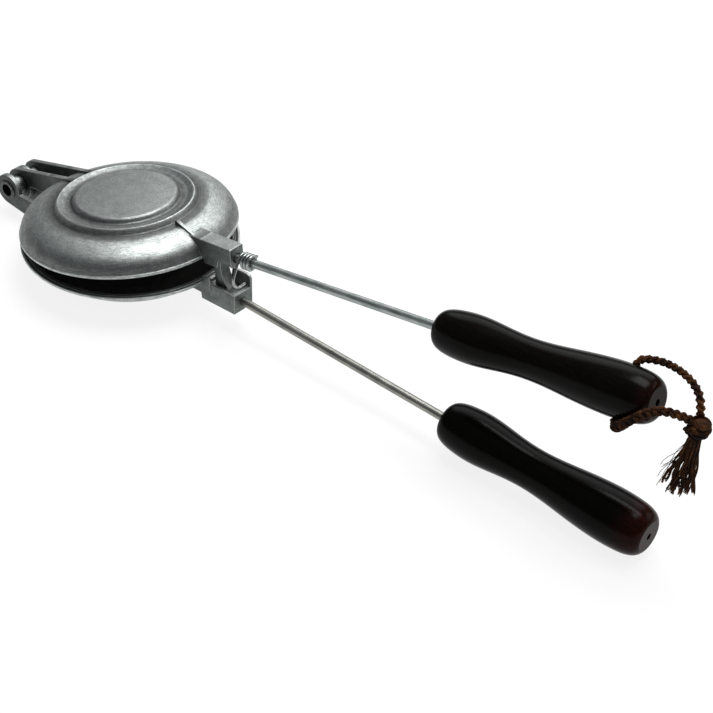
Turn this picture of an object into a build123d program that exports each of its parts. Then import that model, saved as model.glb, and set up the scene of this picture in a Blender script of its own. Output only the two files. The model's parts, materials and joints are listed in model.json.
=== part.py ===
from build123d import *
import os
from math import acos, atan2, cos, degrees, hypot, pi, radians, sin, sqrt, tan

os.makedirs("parts", exist_ok=True)

# A round jaffle iron: two cast aluminium dishes hinged at the back, a plated
# steel rod and a turned wooden handle on each, a spring wire catch and a cord.
# Each half is drawn closed, rims on the plane z = 0, +X towards the handles.
# The last section opens the upper half a little and lays the iron down.

# Driving sizes of the dishes, in millimetres
rim_radius = 65.0
rim_band = 1.4
mouth_radius = 60.4
plateau_radius = 30.6
plateau_height = 20.3
lip_height = 19.0
band_height = 17.2
valley_height = 15.4
cavity_roof = 17.3

# Driving sizes of the hinge
hinge_x = -93.6
knuckle_radius = 9.8
arm_thickness = 3.0
inner_arm_y = 0.3
outer_arm_y = 9.8
pin_radius = 4.8
pin_bore_radius = 4.0
running_gap = 0.06
rest_opening = 5.5

# Driving sizes of the socket blocks at the front
block_back = 52.0
block_front = 88.1
block_half_width = 5.3
block_top = 12.75
block_underside = 2.0
heel_back = 66.5
heel_front = 77.4
heel_bottom = -2.0
tongue_half_width = 3.5
tongue_depth = 16.0
saddle_back = 65.9
saddle_front = 91.1
saddle_half_width = 7.5
saddle_bottom = -10.2
saddle_wall = 1.5
front_wall_top = 2.1
back_wall_top = 5.4
far_wall_top = 9.8
far_wall_back = 75.8
window_back = 70.6
window_front = 83.0
pocket_front = 88.5
pocket_floor = -0.8
sunk_floor = -2.8

# Driving sizes of the rods and handles
rod_radius = 2.5
rod_start = 90.0
upper_rod_height = 5.8
upper_rod_rise = 2.5
lower_rod_height = -4.6
lower_rod_fall = 3.3
upper_handle_start = 144.7
upper_handle_length = 134.4
lower_handle_start = 149.8
lower_handle_length = 131.0
lower_handle_girth = 1.065
handle_bulge = 14.3
cord_hole_at = 116.3
cord_hole_lean = 50.0

# Driving sizes of the catch
wire_radius = 0.8
coil_radius = 4.3
coil_pitch = 2.25
coil_turns = 3.25
coil_start = 3.3
hook_radius = 5.0
hook_drop = 10.9
hook_sweep = 128.0
hook_tip_length = 3.4
catch_rest_swing = -33.0

# Driving sizes of the cord
cord_radius = 2.0
knot_radius = 6.6


# The casting that both halves share: a domed dish and two hinge arms
def knuckle_arm(face_y, way):
    """One hinge arm of the upper half, from the ring down to a round end with the pin's bore."""
    shoulder = (-39.6, 17.9)
    heel = (-38.0, 0.5)
    edge_rounding = 0.4
    reach = hypot(shoulder[0] - hinge_x, shoulder[1])
    lift = atan2(shoulder[1], shoulder[0] - hinge_x)
    turn = lift + acos(knuckle_radius / reach)
    tangent_point = (hinge_x + knuckle_radius * cos(turn), knuckle_radius * sin(turn))
    with BuildPart(mode=Mode.PRIVATE) as arm:
        with BuildSketch(Plane.XZ.offset(-face_y)):
            with BuildLine():
                Polyline(
                    (hinge_x, 0),
                    tangent_point,
                    shoulder,
                    heel,
                    (hinge_x + knuckle_radius, heel[1]),
                    close=True,
                )
            make_face()
            with Locations((hinge_x, 0)):
                Circle(knuckle_radius)
        extrude(amount=-way * arm_thickness)
        fillet(arm.edges().filter_by(GeomType.LINE).group_by(Axis.Z)[-1], edge_rounding)
    return arm.part


def dish_casting(conical):
    """One half as it leaves the mould, with a conical side or a domed one, before any cutting."""
    crease = (49.5, 13.0) if conical else (48.6, 15.2)
    rim_edge = (rim_radius - 0.5, rim_band + 0.4)
    with BuildPart(mode=Mode.PRIVATE) as casting:
        with BuildSketch(Plane.XZ):
            with BuildLine():
                Line((0, 0), (rim_radius, 0))
                Line((rim_radius, 0), (rim_radius, rim_band))
                Line((rim_radius, rim_band), rim_edge)
                if conical:
                    Line(rim_edge, crease)
                else:
                    Spline(
                        rim_edge,
                        (63.0, 6.2),
                        (60.2, 9.8),
                        (55.4, 12.9),
                        crease,
                        tangents=[(-0.25, 1.0), (-1.0, 0.22)],
                    )
                FilletPolyline(
                    crease,
                    (42.6, valley_height),
                    (40.4, lip_height),
                    (36.6, band_height + 0.2),
                    (32.2, band_height),
                    (plateau_radius, plateau_height),
                    (0, plateau_height),
                    radius=[0.9, 0.5, 4.0, 1.2, 2.4],
                )
                Line((0, plateau_height), (0, 0))
            make_face()
        revolve(axis=Axis.Z)
        add(knuckle_arm(-inner_arm_y, -1))
        add(knuckle_arm(outer_arm_y, 1))
    return casting.part


def cavity(conical):
    """The baking hollow, 2 to 3 mm inside the casting's side, and the fine sealing groove round its rim."""
    side = [(57.6, 4.6), (53.0, 8.2), (44.0, 11.9)] if conical else [(57.6, 6.0), (52.8, 9.5), (44.0, 12.4)]
    groove_inner = 62.4
    groove_outer = 63.2
    groove_depth = 0.6
    with BuildPart(mode=Mode.PRIVATE) as hollow:
        with BuildSketch(Plane.XZ):
            with BuildLine():
                Line((0, 0), (mouth_radius, 0))
                Spline((mouth_radius, 0), *side, tangents=[(-0.1, 1.0), (-1.0, 0.15)])
                FilletPolyline(
                    side[-1],
                    (33.6, 13.2),
                    (29.8, cavity_roof),
                    (0, cavity_roof),
                    radius=[2.0, 1.6],
                )
                Line((0, cavity_roof), (0, 0))
            make_face()
            with Locations(((groove_inner + groove_outer) / 2, groove_depth / 2)):
                Rectangle(groove_outer - groove_inner, groove_depth)
        revolve(axis=Axis.Z)
    return hollow.part


# Each rod's line: its own Z runs along the rod from the block, X to the far side, Y upwards
upper_lean = radians(upper_rod_rise)
lower_lean = radians(-lower_rod_fall)
upper_rod_line = Plane(
    origin=(rod_start, 0, upper_rod_height), x_dir=(0, 1, 0), z_dir=(cos(upper_lean), 0, sin(upper_lean))
)
lower_rod_line = Plane(
    origin=(rod_start, 0, lower_rod_height), x_dir=(0, 1, 0), z_dir=(cos(lower_lean), 0, sin(lower_lean))
)
upper_rod_tail = 22.0
lower_rod_tail = 6.6
rod_pin_radius = 1.0
rod_pin_depth = 3.6
rod_pin_bore = 12.0
upper_rod_pin_at = -12.0
lower_rod_pin_at = -3.4
across = (0, 90, 0)
run_forward = (Align.MIN, Align.CENTER, Align.CENTER)
pocket_corner = (Align.MIN, Align.CENTER, Align.MIN)
from_base = (Align.CENTER, Align.CENTER, Align.MIN)
from_tip = (Align.CENTER, Align.CENTER, Align.MAX)

# Upper dish: the casting with the solid socket block, its tongue, a thin rib and the runner's stub
counterbore_radius = 3.1
counterbore_length = 2 * (2.0 + rod_start - block_front)
rib_thickness = 2.2
rib_near_y = -4.5
rib_outline = [(44.6, 13.0), (44.6, 18.3), (46.2, 18.2), (59.0, 12.7), (59.0, 9.0)]
tongue_back = 72.4
tongue_toe = 82.4
tongue_waist = (77.9, -7.0)
tongue_root = (78.4, 3.0)
relief_length = 8.0
relief_height = 1.8
relief_depth = 0.9
stub_radius = 2.0
stub_at = (86.0, 1.8)
stub_width = 5.6
edge_rounding = 0.5
with BuildPart() as socket_block:
    with BuildSketch(Plane.XZ.offset(-block_half_width)):
        with BuildLine():
            Polyline(
                (block_back, 3.0),
                (block_back, block_top),
                (block_front, block_top),
                (block_front, block_underside),
                (heel_front, block_underside),
                (heel_front - 0.6, heel_bottom),
                (heel_back, heel_bottom),
                (heel_back, 0.5),
                (heel_back - 6.5, 0.5),
                close=True,
            )
        make_face()
    extrude(amount=2 * block_half_width)
    fillet(socket_block.faces().sort_by(Axis.Z)[-1].edges(), edge_rounding)
with BuildPart() as upper_dish:
    add(dish_casting(conical=False))
    add(socket_block.part)
    with BuildSketch(Plane.XZ.offset(-tongue_half_width)):
        with BuildLine():
            Polyline(
                tongue_root, (tongue_back, 3.0), (tongue_back, -tongue_depth), (tongue_toe, -tongue_depth)
            )
            ThreePointArc((tongue_toe, -tongue_depth), tongue_waist, tongue_root)
        make_face()
    extrude(amount=2 * tongue_half_width)
    with BuildSketch(Plane.XZ.offset(-rib_near_y)):
        with BuildLine():
            Polyline(*rib_outline, close=True)
        make_face()
    extrude(amount=-rib_thickness)
    with Locations((stub_at[0], block_half_width - stub_width, stub_at[1])):
        Cylinder(stub_radius, stub_width, rotation=(90, 0, 0))
    with Locations((heel_front + 1.0, -block_half_width, block_underside)):
        Box(relief_length, 2 * relief_depth, 2 * relief_height, align=run_forward, mode=Mode.SUBTRACT)
    with Locations(upper_rod_line):
        Cylinder(rod_radius, upper_rod_tail, align=from_tip, mode=Mode.SUBTRACT)
        Cylinder(counterbore_radius, counterbore_length, mode=Mode.SUBTRACT)
    with Locations(upper_rod_line.offset(upper_rod_pin_at)):
        with Locations((-rod_pin_depth, 0, 0)):
            Cylinder(rod_pin_radius, rod_pin_bore, rotation=across, align=from_base, mode=Mode.SUBTRACT)
    for arm_face, way in ((-inner_arm_y, -1), (outer_arm_y, 1)):
        with Locations(Plane(origin=(hinge_x, arm_face, 0), z_dir=(0, way, 0))):
            Cylinder(pin_radius + running_gap, 2.5 * arm_thickness, mode=Mode.SUBTRACT)
    add(cavity(conical=False), mode=Mode.SUBTRACT)
upper_dish.part.label = "upper_dish"

# Lower dish: the same casting turned over, with the open saddle block for the tongue and the rod
notch_at = 71.3
notch_foot = (72.7, -4.4)
notch_depth = 0.5
window_half_width = 4.6
sunk_length = 11.8
open_above = 15.0
saddle_outline = [
    (54.0, -4.0),
    (54.0, -6.4),
    (64.9, -6.4),
    (65.3, saddle_bottom),
    (saddle_front, saddle_bottom),
    (saddle_front, front_wall_top),
    (saddle_back, front_wall_top),
    (saddle_back, -0.5),
    (60.0, -0.5),
]
near_wall_outline = [
    (saddle_back, 0),
    (saddle_back, back_wall_top - 0.2),
    (notch_at, back_wall_top + 0.2),
    (notch_at + 1.4, 1.9),
    (notch_at + 2.7, 0),
]
with BuildPart() as lower_dish:
    add(dish_casting(conical=True).rotate(Axis.X, 180))
    with BuildSketch(Plane.XZ.offset(-saddle_half_width)):
        with BuildLine():
            Polyline(*saddle_outline, close=True)
        make_face()
    extrude(amount=2 * saddle_half_width)
    with BuildSketch(Plane.XZ.offset(saddle_half_width)):
        with BuildLine():
            Polyline(*near_wall_outline, close=True)
        make_face()
    extrude(amount=-saddle_wall)
    with BuildSketch(Plane.XZ.offset(-saddle_half_width)):
        with BuildLine():
            FilletPolyline(
                (far_wall_back, 0),
                (far_wall_back + 1.5, far_wall_top - 0.2),
                (saddle_front, far_wall_top + 0.2),
                (saddle_front, 0),
                radius=[1.5, 3.0],
            )
            Line((saddle_front, 0), (far_wall_back, 0))
        make_face()
    extrude(amount=saddle_wall)
    # The cast notch down the near wall, where its high back part ends
    with BuildSketch(Plane.XZ.offset(saddle_half_width)):
        with BuildLine():
            Polyline(
                (notch_at, back_wall_top + 1), notch_foot, (notch_at + 3.2, back_wall_top + 1), close=True
            )
        make_face()
    extrude(amount=-notch_depth, mode=Mode.SUBTRACT)
    # The pocket: a deep window for the tongue, a shallow floor over the rod, a sunk back for the heel
    pocket_width = 2 * (saddle_half_width - saddle_wall)
    with Locations((window_back, 0, saddle_bottom - 1)):
        Box(
            window_front - window_back,
            2 * window_half_width,
            open_above,
            align=pocket_corner,
            mode=Mode.SUBTRACT,
        )
    with Locations((window_back, 0, pocket_floor)):
        Box(pocket_front - window_back, pocket_width, open_above, align=pocket_corner, mode=Mode.SUBTRACT)
    with Locations((saddle_back, 0, sunk_floor)):
        Box(sunk_length, pocket_width, open_above, align=pocket_corner, mode=Mode.SUBTRACT)
    with Locations(lower_rod_line):
        Cylinder(rod_radius, 2 * lower_rod_tail, mode=Mode.SUBTRACT)
    with Locations(lower_rod_line.offset(lower_rod_pin_at)):
        with Locations((-rod_pin_depth, 0, 0)):
            Cylinder(rod_pin_radius, rod_pin_bore, rotation=across, align=from_base, mode=Mode.SUBTRACT)
    for arm_face, way in ((inner_arm_y, 1), (-outer_arm_y, -1)):
        with Locations(Plane(origin=(hinge_x, arm_face, 0), z_dir=(0, way, 0))):
            Cylinder(pin_radius, 2.5 * arm_thickness, mode=Mode.SUBTRACT)
    add(cavity(conical=True).rotate(Axis.X, 180), mode=Mode.SUBTRACT)
lower_dish.part.label = "lower_dish"

# Hinge pin: a steel tube pressed in the lower arms, its ends rolled over, the far one over a washer
near_end = -outer_arm_y - arm_thickness
far_end = outer_arm_y + arm_thickness
washer_thickness = 0.8
head_thickness = 1.0
side_play = 0.15
head_overlap = 1.4
hinge_start = Plane(origin=(hinge_x, near_end, 0), z_dir=(0, 1, 0))
hinge_far = Plane(origin=(hinge_x, far_end + side_play, 0), z_dir=(0, 1, 0))
with BuildPart() as hinge_pin:
    with Locations(hinge_start):
        Cylinder(pin_radius, far_end - near_end + side_play + washer_thickness, align=from_base)
        Cylinder(pin_radius + head_overlap, head_thickness, align=from_tip)
    with Locations(hinge_far.offset(washer_thickness)):
        Cylinder(pin_radius + head_overlap, head_thickness, align=from_base)
    chamfer(hinge_pin.edges().group_by(Axis.Y)[-1], head_thickness / 2)
    chamfer(hinge_pin.edges().group_by(Axis.Y)[0], head_thickness / 2)
    with Locations(hinge_start):
        Cylinder(pin_bore_radius, 3 * (far_end - near_end), mode=Mode.SUBTRACT)
hinge_pin.part.label = "hinge_pin"

with BuildPart() as hinge_washer:
    with Locations(hinge_far):
        Cylinder(pin_radius + 2.6, washer_thickness, align=from_base)
        Cylinder(pin_radius, 3 * washer_thickness, mode=Mode.SUBTRACT)
hinge_washer.part.label = "hinge_washer"


def spacer(from_y, to_y):
    """A plain steel bush on the pin that keeps two hinge arms apart."""
    spacer_radius = 6.4
    bevel = 0.5
    with BuildPart() as bush:
        with Locations(Plane(origin=(hinge_x, from_y, 0), z_dir=(0, 1, 0))):
            Cylinder(spacer_radius, to_y - from_y, align=from_base)
            chamfer(bush.edges().filter_by(GeomType.CIRCLE), bevel)
            Cylinder(pin_radius, 3 * (to_y - from_y), mode=Mode.SUBTRACT)
    return bush


# The two bushes fill the gaps between one half's outer arm and the other's inner arm
near_spacer = spacer(-outer_arm_y, -inner_arm_y - arm_thickness - side_play)
near_spacer.part.label = "near_spacer"
far_spacer = spacer(inner_arm_y + arm_thickness, outer_arm_y - side_play)
far_spacer.part.label = "far_spacer"


# Rods: plain plated steel rod, its front end pinned in the block, its back end driven into the handle
grip_depth = 95.0
edge_break = 0.5


def rod(tail, pin_at, handle_start):
    with BuildPart() as bar:
        with Locations((0, 0, -tail)):
            Cylinder(rod_radius, tail + handle_start + grip_depth, align=from_base)
        chamfer(bar.edges().filter_by(GeomType.CIRCLE), edge_break)
        with Locations((-rod_pin_depth, 0, pin_at)):
            Cylinder(rod_pin_radius, rod_pin_bore, rotation=across, align=from_base, mode=Mode.SUBTRACT)
    return bar


def rod_pin(block_side, pin_at):
    """A small steel pin driven in from the block's far side, through the rod."""
    with BuildPart() as pin:
        with Locations((-rod_pin_depth, 0, pin_at)):
            Cylinder(rod_pin_radius, rod_pin_depth + block_side, rotation=across, align=from_base)
    return pin


upper_rod = rod(upper_rod_tail, upper_rod_pin_at, upper_handle_start)
upper_rod.part.label = "upper_rod"
lower_rod = rod(lower_rod_tail, lower_rod_pin_at, lower_handle_start)
lower_rod.part.label = "lower_rod"
upper_rod_pin = rod_pin(block_half_width, upper_rod_pin_at)
upper_rod_pin.part.label = "upper_rod_pin"
lower_rod_pin = rod_pin(saddle_half_width, lower_rod_pin_at)
lower_rod_pin.part.label = "lower_rod_pin"


# Handles: turned hardwood, a small bulge in front, a waist, a fuller bulge behind, a centre mark at the end
def handle(start, length, girth=1.0):
    """A handle on its rod; turned by hand, so one differs a little from the other in length and girth."""
    pattern_length = 134.4
    centre_mark_radius = 1.9
    centre_mark_depth = 6.0
    pattern = [
        (7.0, 0.0),
        (9.9, 1.8),
        (11.6, 5.5),
        (12.8, 12.5),
        (13.3, 21.5),
        (12.6, 33.5),
        (11.35, 45.3),
        (10.7, 58.5),
        (11.25, 71.5),
        (12.8, 87.5),
        (13.95, 101.5),
        (handle_bulge, 111.5),
        (13.95, 121.5),
        (12.7, 129.0),
        (10.7, 132.8),
        (8.3, pattern_length),
    ]
    turned = [(radius * girth, start + along * length / pattern_length) for radius, along in pattern]
    with BuildPart() as grip:
        with BuildSketch(Plane.XZ):
            with BuildLine():
                Line((0, start), turned[0])
                Spline(*turned)
                Line(turned[-1], (0, start + length))
                Line((0, start + length), (0, start))
            make_face()
        revolve(axis=Axis.Z)
        with Locations((0, 0, start)):
            Cylinder(rod_radius, grip_depth, align=from_base, mode=Mode.SUBTRACT)
        with Locations((0, 0, start + length)):
            Cylinder(centre_mark_radius, centre_mark_depth, align=from_tip, mode=Mode.SUBTRACT)
    return grip


def handle_washer(start):
    """A thin plated washer between the rod's swaged collar and the wood."""
    washer_radius = 6.0
    thickness = 1.2
    with BuildPart() as ring:
        with Locations((0, 0, start)):
            Cylinder(washer_radius, thickness, align=from_tip)
            chamfer(ring.edges().group_by(Axis.Z)[0], thickness / 3)
            Cylinder(rod_radius, 3 * thickness, mode=Mode.SUBTRACT)
    return ring


lower_handle = handle(lower_handle_start, lower_handle_length, lower_handle_girth)
lower_handle.part.label = "lower_handle"
cord_hole = Plane(
    origin=(0, 0, upper_handle_start + cord_hole_at),
    z_dir=(cos(radians(cord_hole_lean)), sin(radians(cord_hole_lean)), 0),
)
cord_clearance = 0.1
with BuildPart() as upper_handle:
    add(handle(upper_handle_start, upper_handle_length).part)
    with Locations(cord_hole):
        Cylinder(cord_radius + cord_clearance, 4 * handle_bulge, mode=Mode.SUBTRACT)
upper_handle.part.label = "upper_handle"
lower_washer = handle_washer(lower_handle_start)
lower_washer.part.label = "lower_washer"
upper_washer = handle_washer(upper_handle_start)
upper_washer.part.label = "upper_washer"


# Catch: one spring wire, wound as a loose coil round the upper rod and bent down into a hook
def tangent_arcs(start, start_way, end, end_way):
    """Draw two arcs that leave start along start_way and reach end along end_way."""
    chord = end - start
    ways = start_way + end_way
    spread = 2 * start_way.dot(end_way) - 2
    root = sqrt(chord.dot(ways) ** 2 - spread * chord.dot(chord))
    leg = (chord.dot(ways) - root) / spread
    first = start + start_way * leg
    last = end - end_way * leg
    joint = (first + last) / 2
    TangentArc(start, joint, tangent=start_way)
    TangentArc(joint, end, tangent=(last - first).normalized())


def coil_point(turns):
    """A point of the coil's centre line, starting at the hook's side and going over the top."""
    angle = -2 * pi * turns
    return Vector(coil_radius * cos(angle), coil_radius * sin(angle), coil_start + coil_pitch * turns)


def coil_way(turns):
    angle = -2 * pi * turns
    climb = coil_pitch / (2 * pi * coil_radius)
    return Vector(sin(angle), -cos(angle), climb).normalized()


# The catch is drawn along the rod's line: X is the side that the leg is on, Y is down
straight_end = 2 * wire_radius
tip_angle = radians(hook_sweep)
hook_centre = Vector(coil_radius - hook_radius, hook_drop, coil_start)
hook_tip = hook_centre + Vector(cos(tip_angle), sin(tip_angle), 0) * hook_radius
hook_middle = hook_centre + Vector(cos(tip_angle / 2), sin(tip_angle / 2), 0) * hook_radius
tip_way = Vector(sin(tip_angle), -cos(tip_angle), 0)
leg_foot = Vector(coil_radius, hook_drop, coil_start)
quarters = round(4 * coil_turns)
with BuildPart() as catch_spring:
    with BuildLine() as wire:
        Line(hook_tip - tip_way * hook_tip_length, hook_tip)
        ThreePointArc(hook_tip, hook_middle, leg_foot)
        Line(leg_foot, coil_point(0))
        tangent_arcs(coil_point(0), Vector(0, -1, 0), coil_point(0.25), coil_way(0.25))
        for quarter in range(1, quarters):
            here = quarter / 4
            ahead = here + 0.25
            tangent_arcs(coil_point(here), coil_way(here), coil_point(ahead), coil_way(ahead))
        Line(coil_point(coil_turns), coil_point(coil_turns) + coil_way(coil_turns) * straight_end)
    with BuildSketch(Plane(origin=hook_tip - tip_way * hook_tip_length, z_dir=tip_way)):
        Circle(wire_radius)
    sweep(path=wire.wire())
catch_spring.part.label = "catch_spring"

# The least gap between the wire's turns, measured on points along its centre line
samples = 400
centre_line = wire.wire()
wire_length = centre_line.length
centre_points = [centre_line.position_at(step / samples) for step in range(samples + 1)]
apart = int(samples * 3 * coil_radius / wire_length)
least = min(
    (centre_points[a] - centre_points[b]).length
    for a in range(samples + 1)
    for b in range(a + apart, samples + 1)
)
print(f"catch wire {wire_length:.1f} mm long, least gap to itself {least - 2 * wire_radius:.2f} mm")


# Cord: a plaited cord through the cross hole of the upper handle, tied in one knot with a frayed end
def mouth(side, beyond=0.0):
    """Where the cord leaves the handle: side +1 is the far and upper mouth, -1 the near and lower."""
    lean = radians(cord_hole_lean)
    out = side * (handle_bulge + beyond)
    along = upper_handle_start + cord_hole_at
    return upper_rod_line.from_local_coords(Vector(out * cos(lean), out * sin(lean), along))


def strand(route):
    """A tube along straight runs joined by arcs as large as the runs allow."""
    runs = [(b - a).length for a, b in zip(route, route[1:])]
    radii = []
    for before, corner, after in zip(route, route[1:], route[2:]):
        half_turn = radians((corner - before).get_angle(after - corner)) / 2
        shorter = min((corner - before).length, (after - corner).length)
        radii.append(0.45 * shorter / tan(half_turn))
    with BuildPart() as tube:
        with BuildLine() as path:
            FilletPolyline(*route, radius=radii)
        with BuildSketch(Plane(origin=route[0], z_dir=route[1] - route[0])):
            Circle(cord_radius)
        sweep(path=path.wire())
    length = path.wire().length
    share = tube.part.volume / (pi * cord_radius**2 * length)
    print("cord runs", [round(run, 1) for run in runs], "radii", [round(radius, 1) for radius in radii])
    print(f"cord strand {length:.1f} mm long, volume over section times length {share:.3f}")
    return tube


far_route = [
    mouth(1),
    mouth(1, 4.4),
    Vector(357.0, 13.4, 34.8),
    Vector(367.5, 12.6, 34.6),
    Vector(378.5, 9.8, 31.8),
    Vector(387.2, 6.0, 26.2),
    Vector(391.4, 2.4, 18.4),
]
near_route = [
    mouth(-1),
    mouth(-1, 4.2),
    Vector(356.2, -15.4, 5.0),
    Vector(363.4, -16.6, 14.4),
    Vector(373.0, -14.8, 22.6),
    Vector(382.0, -9.6, 23.8),
    Vector(389.8, -2.8, 17.4),
]
cord_far_strand = strand(far_route)
cord_far_strand.part.label = "cord_far_strand"
cord_near_strand = strand(near_route)
cord_near_strand.part.label = "cord_near_strand"

with BuildPart() as cord_in_handle:
    with Locations(cord_hole):
        Cylinder(cord_radius, 2 * handle_bulge)
cord_in_handle.part.label = "cord_in_handle"

knot_centre = Vector(392.5, 0.0, 12.5)
with BuildPart() as cord_knot:
    with Locations(knot_centre):
        Sphere(knot_radius)
cord_knot.part.label = "cord_knot"

tassel_top = Vector(391.2, -0.5, 7.0)
tassel_way = Vector(-7.6, -1.0, -33.0).normalized()
tassel_sections = ((0.0, 3.6, 3.4), (13.0, 5.2, 4.2), (25.0, 8.6, 5.4), (33.5, 10.6, 6.2))
with BuildPart() as cord_tassel:
    for along, half_width, half_depth in tassel_sections:
        with BuildSketch(Plane(origin=tassel_top + tassel_way * along, x_dir=(1, 0, 0), z_dir=tassel_way)):
            Ellipse(half_width, half_depth)
    loft()
cord_tassel.part.label = "cord_tassel"


# Laying down: the lower half rests on its plateau's back edge and on its handle's bulge
def lowest(piece, seat):
    return piece.part.moved(seat).bounding_box().min.Z


span = 379.0
tilt = 1.8
for _ in range(4):
    lying = Rot(0, -tilt, 0)
    handle_drop = lowest(lower_dish, lying) - lowest(lower_handle, lying * lower_rod_line.location)
    tilt += degrees(handle_drop / span)
lying = Rot(0, -tilt, 0)
floor = lowest(lower_dish, lying)
opening = Pos(hinge_x, 0, 0) * Rot(0, -rest_opening, 0) * Pos(-hinge_x, 0, 0)
back_reach = lower_dish.part.moved(lying).bounding_box().min.X
front_reach = max(
    lower_handle.part.moved(lying * lower_rod_line.location).bounding_box().max.X,
    upper_handle.part.moved(lying * opening * upper_rod_line.location).bounding_box().max.X,
)
lower_seat = Pos(-(back_reach + front_reach) / 2, 0, -floor) * lying
upper_seat = lower_seat * opening
catch_swing = radians(catch_rest_swing)
catch_line = Plane(
    origin=upper_rod_line.origin, x_dir=(0, -cos(catch_swing), -sin(catch_swing)), z_dir=upper_rod_line.z_dir
)
lower_rod_seat = lower_seat * lower_rod_line.location
upper_rod_seat = upper_seat * upper_rod_line.location
seats = [
    (lower_seat, [lower_dish, hinge_pin, hinge_washer, near_spacer, far_spacer]),
    (lower_rod_seat, [lower_rod, lower_rod_pin, lower_handle, lower_washer]),
    (upper_seat, [upper_dish, cord_near_strand, cord_far_strand, cord_knot, cord_tassel]),
    (upper_rod_seat, [upper_rod, upper_rod_pin, upper_handle, upper_washer, cord_in_handle]),
    (upper_seat * catch_line.location, [catch_spring]),
]
for seat, pieces in seats:
    for piece in pieces:
        piece.part.move(seat)
        export_step(piece.part, f"parts/{piece.part.label}.step")

# The places that the record repeats
hinge_point = (lower_seat * Pos(hinge_x, 0, 0)).position
catch_point = (upper_rod_seat * Pos(0, 0, coil_start)).position
catch_way = (upper_rod_seat * Pos(0, 0, 1)).position - upper_rod_seat.position
print(f"tilt {tilt:.4f} degrees, seat {tuple(lower_seat.position)}")
print(f"hinge {tuple(hinge_point)}, catch {tuple(catch_point)} along {tuple(catch_way)}")
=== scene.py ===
import json
import random
from math import cos, pi, radians, sin

import bpy
from mathutils import Matrix, Quaternion, Vector


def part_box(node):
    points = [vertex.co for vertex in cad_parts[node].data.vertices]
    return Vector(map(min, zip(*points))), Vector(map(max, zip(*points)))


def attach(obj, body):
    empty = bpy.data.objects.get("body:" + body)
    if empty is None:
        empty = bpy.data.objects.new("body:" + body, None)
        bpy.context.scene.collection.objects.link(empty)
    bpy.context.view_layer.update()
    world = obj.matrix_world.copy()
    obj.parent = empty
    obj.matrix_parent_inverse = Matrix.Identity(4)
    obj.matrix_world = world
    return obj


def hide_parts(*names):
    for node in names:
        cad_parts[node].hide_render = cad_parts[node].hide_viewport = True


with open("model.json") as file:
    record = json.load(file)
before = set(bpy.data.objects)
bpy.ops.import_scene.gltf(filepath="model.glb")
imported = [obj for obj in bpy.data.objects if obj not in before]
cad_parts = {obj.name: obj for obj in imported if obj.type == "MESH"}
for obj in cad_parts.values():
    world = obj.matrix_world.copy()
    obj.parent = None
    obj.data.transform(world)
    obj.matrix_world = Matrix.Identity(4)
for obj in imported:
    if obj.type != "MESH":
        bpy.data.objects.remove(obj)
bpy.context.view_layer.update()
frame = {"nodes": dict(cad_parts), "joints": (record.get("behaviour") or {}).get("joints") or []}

# Camera: a long lens on the catch's side of the iron, looking down at it from the right.
# It is turned a little about its own line of sight, as the photograph is.
camera_place = Vector((0.58534, -0.69357, 0.70458))
camera_aim = Vector((0.06308, -0.02694, 0.05203))
camera_roll = radians(3.553)
camera_data = bpy.data.cameras.new("camera")
camera_data.lens = 101.99
camera_data.sensor_width = 36.0
camera = bpy.data.objects.new("camera", camera_data)
camera.location = camera_place
camera.rotation_mode = "QUATERNION"
facing = (camera_place - camera_aim).to_track_quat("Z", "Y")
camera.rotation_quaternion = facing @ Quaternion((0, 0, 1), camera_roll)
bpy.context.scene.collection.objects.link(camera)
bpy.context.scene.camera = camera

# Cord: a brown three-strand plait, threaded through the upper handle and out at both sides.
# Each strand is twisted from five soft cotton yarns; the two ends meet in the knot.
mm = 0.001
lying_tilt = 2.1935
rest_opening = 5.5
hinge_reach = 93.6 * mm
hinge = Vector(next(joint["pos_m"] for joint in frame["joints"] if joint["name"] == "iron_hinge"))


def half_place(opening):
    """Where one half of the iron is: its own frame has the dish's centre at 0 and +X to the handle."""
    turned = Matrix.Rotation(-radians(lying_tilt + opening), 4, "Y")
    return Matrix.Translation(hinge) @ turned @ Matrix.Translation((hinge_reach, 0, 0))


lower_half = half_place(0.0)
upper_half = half_place(rest_opening)
rod_start = Vector((90.0 * mm, 0, 5.8 * mm))
rod_rise = radians(2.5)
upper_rod = upper_half @ Matrix.Translation(rod_start) @ Matrix.Rotation(-rod_rise, 4, "Y")
handle_radius = 14.3 * mm
cord_hole_along = 261.0 * mm
cord_hole_lean = radians(50.0)


def hole_mouth(side, beyond=0.0):
    """Where the cord leaves the handle: side +1 is the far and upper mouth, -1 the near and lower."""
    out = side * (handle_radius + beyond)
    return upper_rod @ Vector((cord_hole_along, out * cos(cord_hole_lean), out * sin(cord_hole_lean)))


def on_upper(x, y, z):
    """A point of the upper half's own frame, given in millimetres."""
    return upper_half @ (Vector((x, y, z)) * mm)


def cord_line(name, route):
    """The cord's centre line: its route on one smooth spline, read back as close points."""
    curve = bpy.data.curves.new(name, "CURVE")
    curve.dimensions = "3D"
    spline = curve.splines.new("NURBS")
    spline.points.add(len(route) - 1)
    for control, point in zip(spline.points, route):
        control.co = (*point, 1)
    spline.order_u = 3
    spline.use_endpoint_u = True
    spline.resolution_u = 16
    holder = bpy.data.objects.new(name, curve)
    line = bpy.data.meshes.new_from_object(holder)
    points = [vertex.co.copy() for vertex in line.vertices]
    bpy.data.objects.remove(holder)
    bpy.data.curves.remove(curve)
    bpy.data.meshes.remove(line)
    return points


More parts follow.
